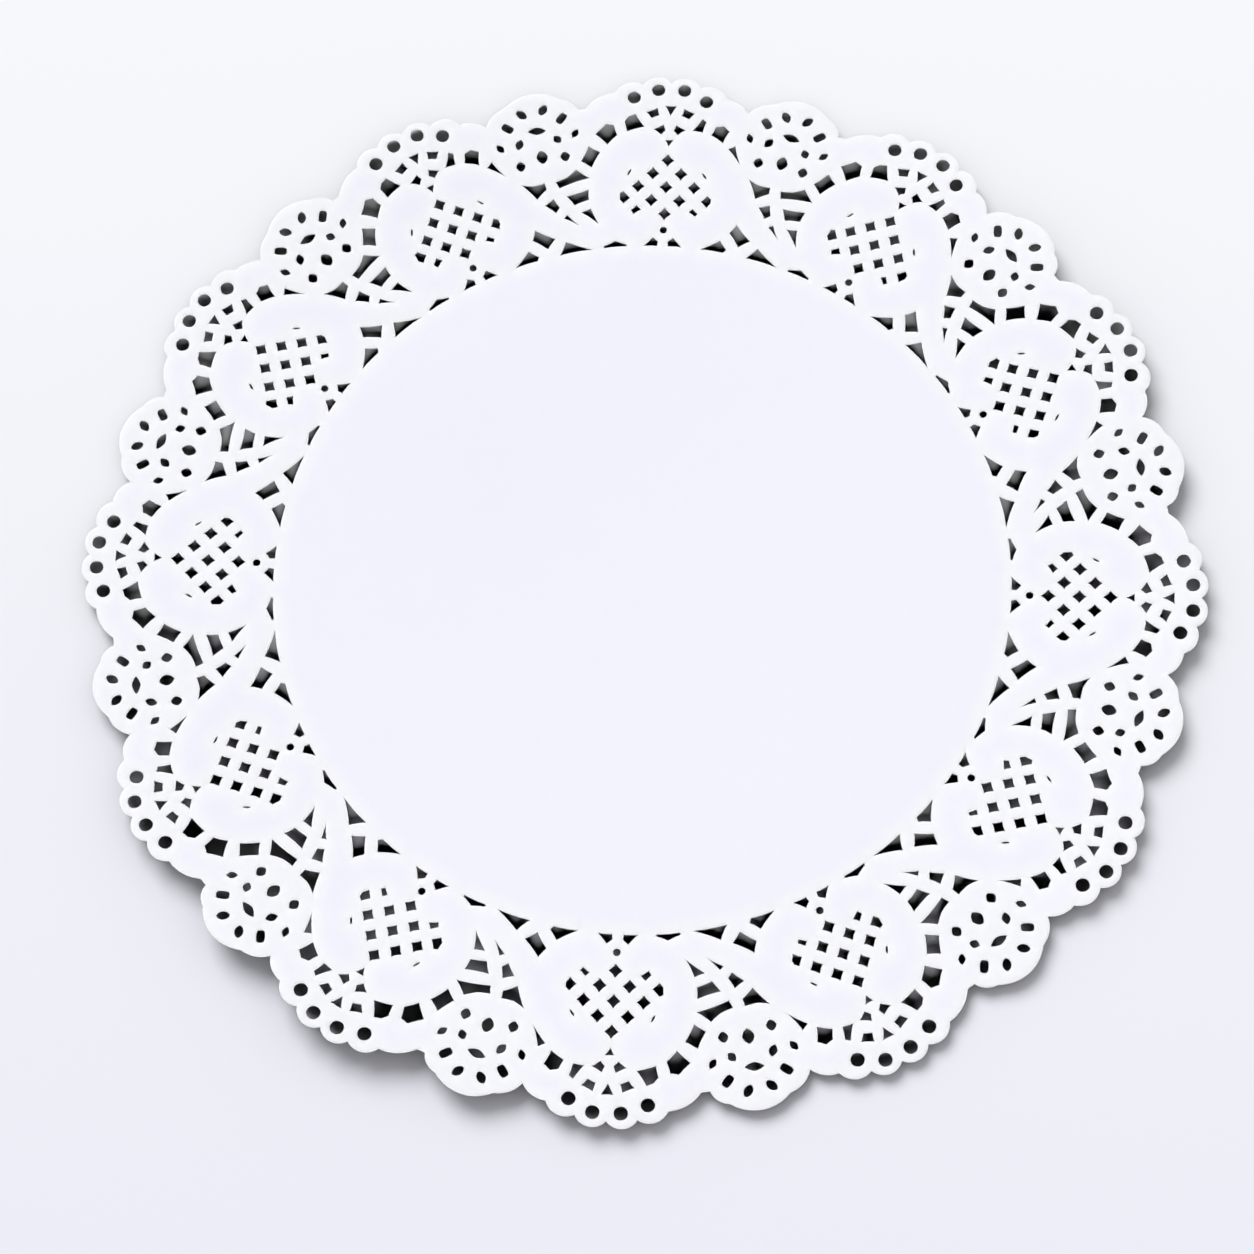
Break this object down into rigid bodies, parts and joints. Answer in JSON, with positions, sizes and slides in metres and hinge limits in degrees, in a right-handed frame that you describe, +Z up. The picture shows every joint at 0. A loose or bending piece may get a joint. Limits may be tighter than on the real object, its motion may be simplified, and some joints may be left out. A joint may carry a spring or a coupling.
{
  "type": "paper lace doily",
  "caption": "Round die-cut paper doily lying flat, with a plain centre, an openwork lace border of hearts, leaves and rosettes, and a scalloped rim, for lining plates and cake stands.",
  "frame": {"origin": "centre of the underside, on the surface that the doily lies on", "axes": "+Z up through the sheet, out of its face; +Y along the axis of one heart in the border, pointing out to the rim; +X a quarter turn clockwise from +Y as seen from above"},
  "size_m": [0.2658, 0.2658, 0.001],
  "materials": {
    "white_paper": "matte"
  },
  "bodies": {
    "root": {"doily": "white_paper"}
  },
  "joints": []
}
